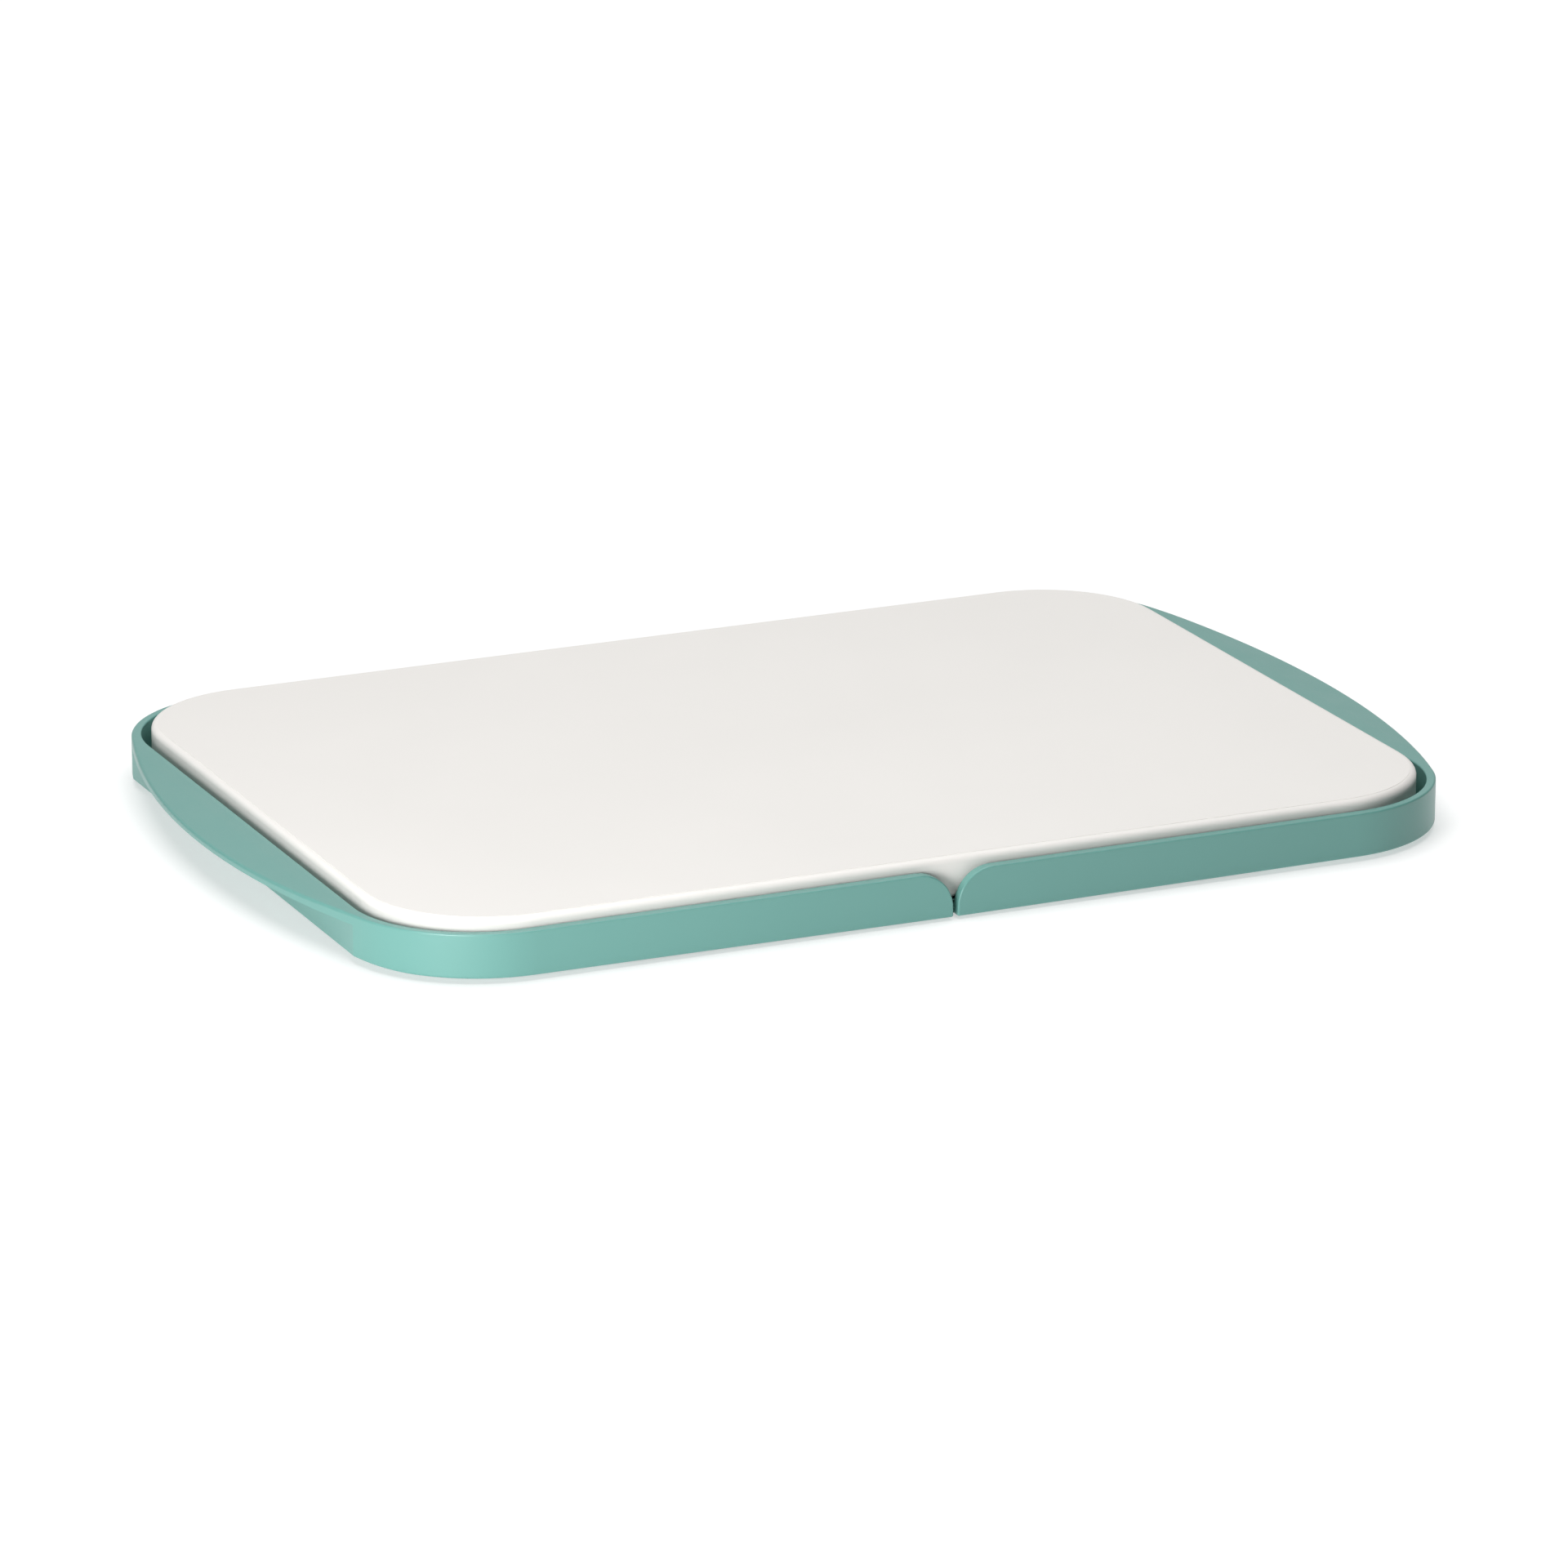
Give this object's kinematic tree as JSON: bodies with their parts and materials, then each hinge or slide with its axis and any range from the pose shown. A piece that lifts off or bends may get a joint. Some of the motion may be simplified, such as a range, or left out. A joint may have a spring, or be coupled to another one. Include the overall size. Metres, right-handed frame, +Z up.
{
  "type": "serving and chopping board with a two-part pull-out handled tray",
  "caption": "Flat rounded board lying on rails inside a low tray; the tray is split across the middle and each half, with a bowed handle flange, pulls outward.",
  "frame": {"origin": "middle of the footprint, on the surface that the feet stand on", "axes": "+X along the long side, through both handles; +Y to the rear; +Z up"},
  "size_m": [0.4232, 0.2846, 0.0201],
  "materials": {
    "tray_mint": "satin mint-green moulded plastic",
    "board_white": "fine satin off-white board",
    "base_teal": "matt dark teal moulded plastic",
    "screw_steel": "brushed stainless steel",
    "foot_rubber": "dark grey rubber",
    "soft_grey": "grey silicone"
  },
  "bodies": {
    "root": {"base_plate": "base_teal", "front_rail": "base_teal", "rear_rail": "base_teal", "rail_screws": "screw_steel", "left_stop_post": "screw_steel", "right_stop_post": "screw_steel", "left_stop_cap": "screw_steel", "right_stop_cap": "screw_steel", "left_brake_strip": "soft_grey", "right_brake_strip": "soft_grey", "foot_front_left": "foot_rubber", "pad_front_left": "soft_grey", "foot_front_right": "foot_rubber", "pad_front_right": "soft_grey", "foot_rear_left": "foot_rubber", "pad_rear_left": "soft_grey", "foot_rear_right": "foot_rubber", "pad_rear_right": "soft_grey"},
    "left_tray": {"left_tray": "tray_mint"},
    "right_tray": {"right_tray": "tray_mint"},
    "board": {"board": "board_white"}
  },
  "joints": [
    {"name": "left_tray_slide", "type": "slide", "parent": "root", "child": "left_tray", "axis": [-1, 0, 0], "range_m": [0, 0.075]},
    {"name": "right_tray_slide", "type": "slide", "parent": "root", "child": "right_tray", "axis": [1, 0, 0], "range_m": [0, 0.075]},
    {"name": "board_lift", "type": "slide", "parent": "root", "child": "board", "axis": [0, 0, 1], "range_m": [0, 0.05]}
  ]
}
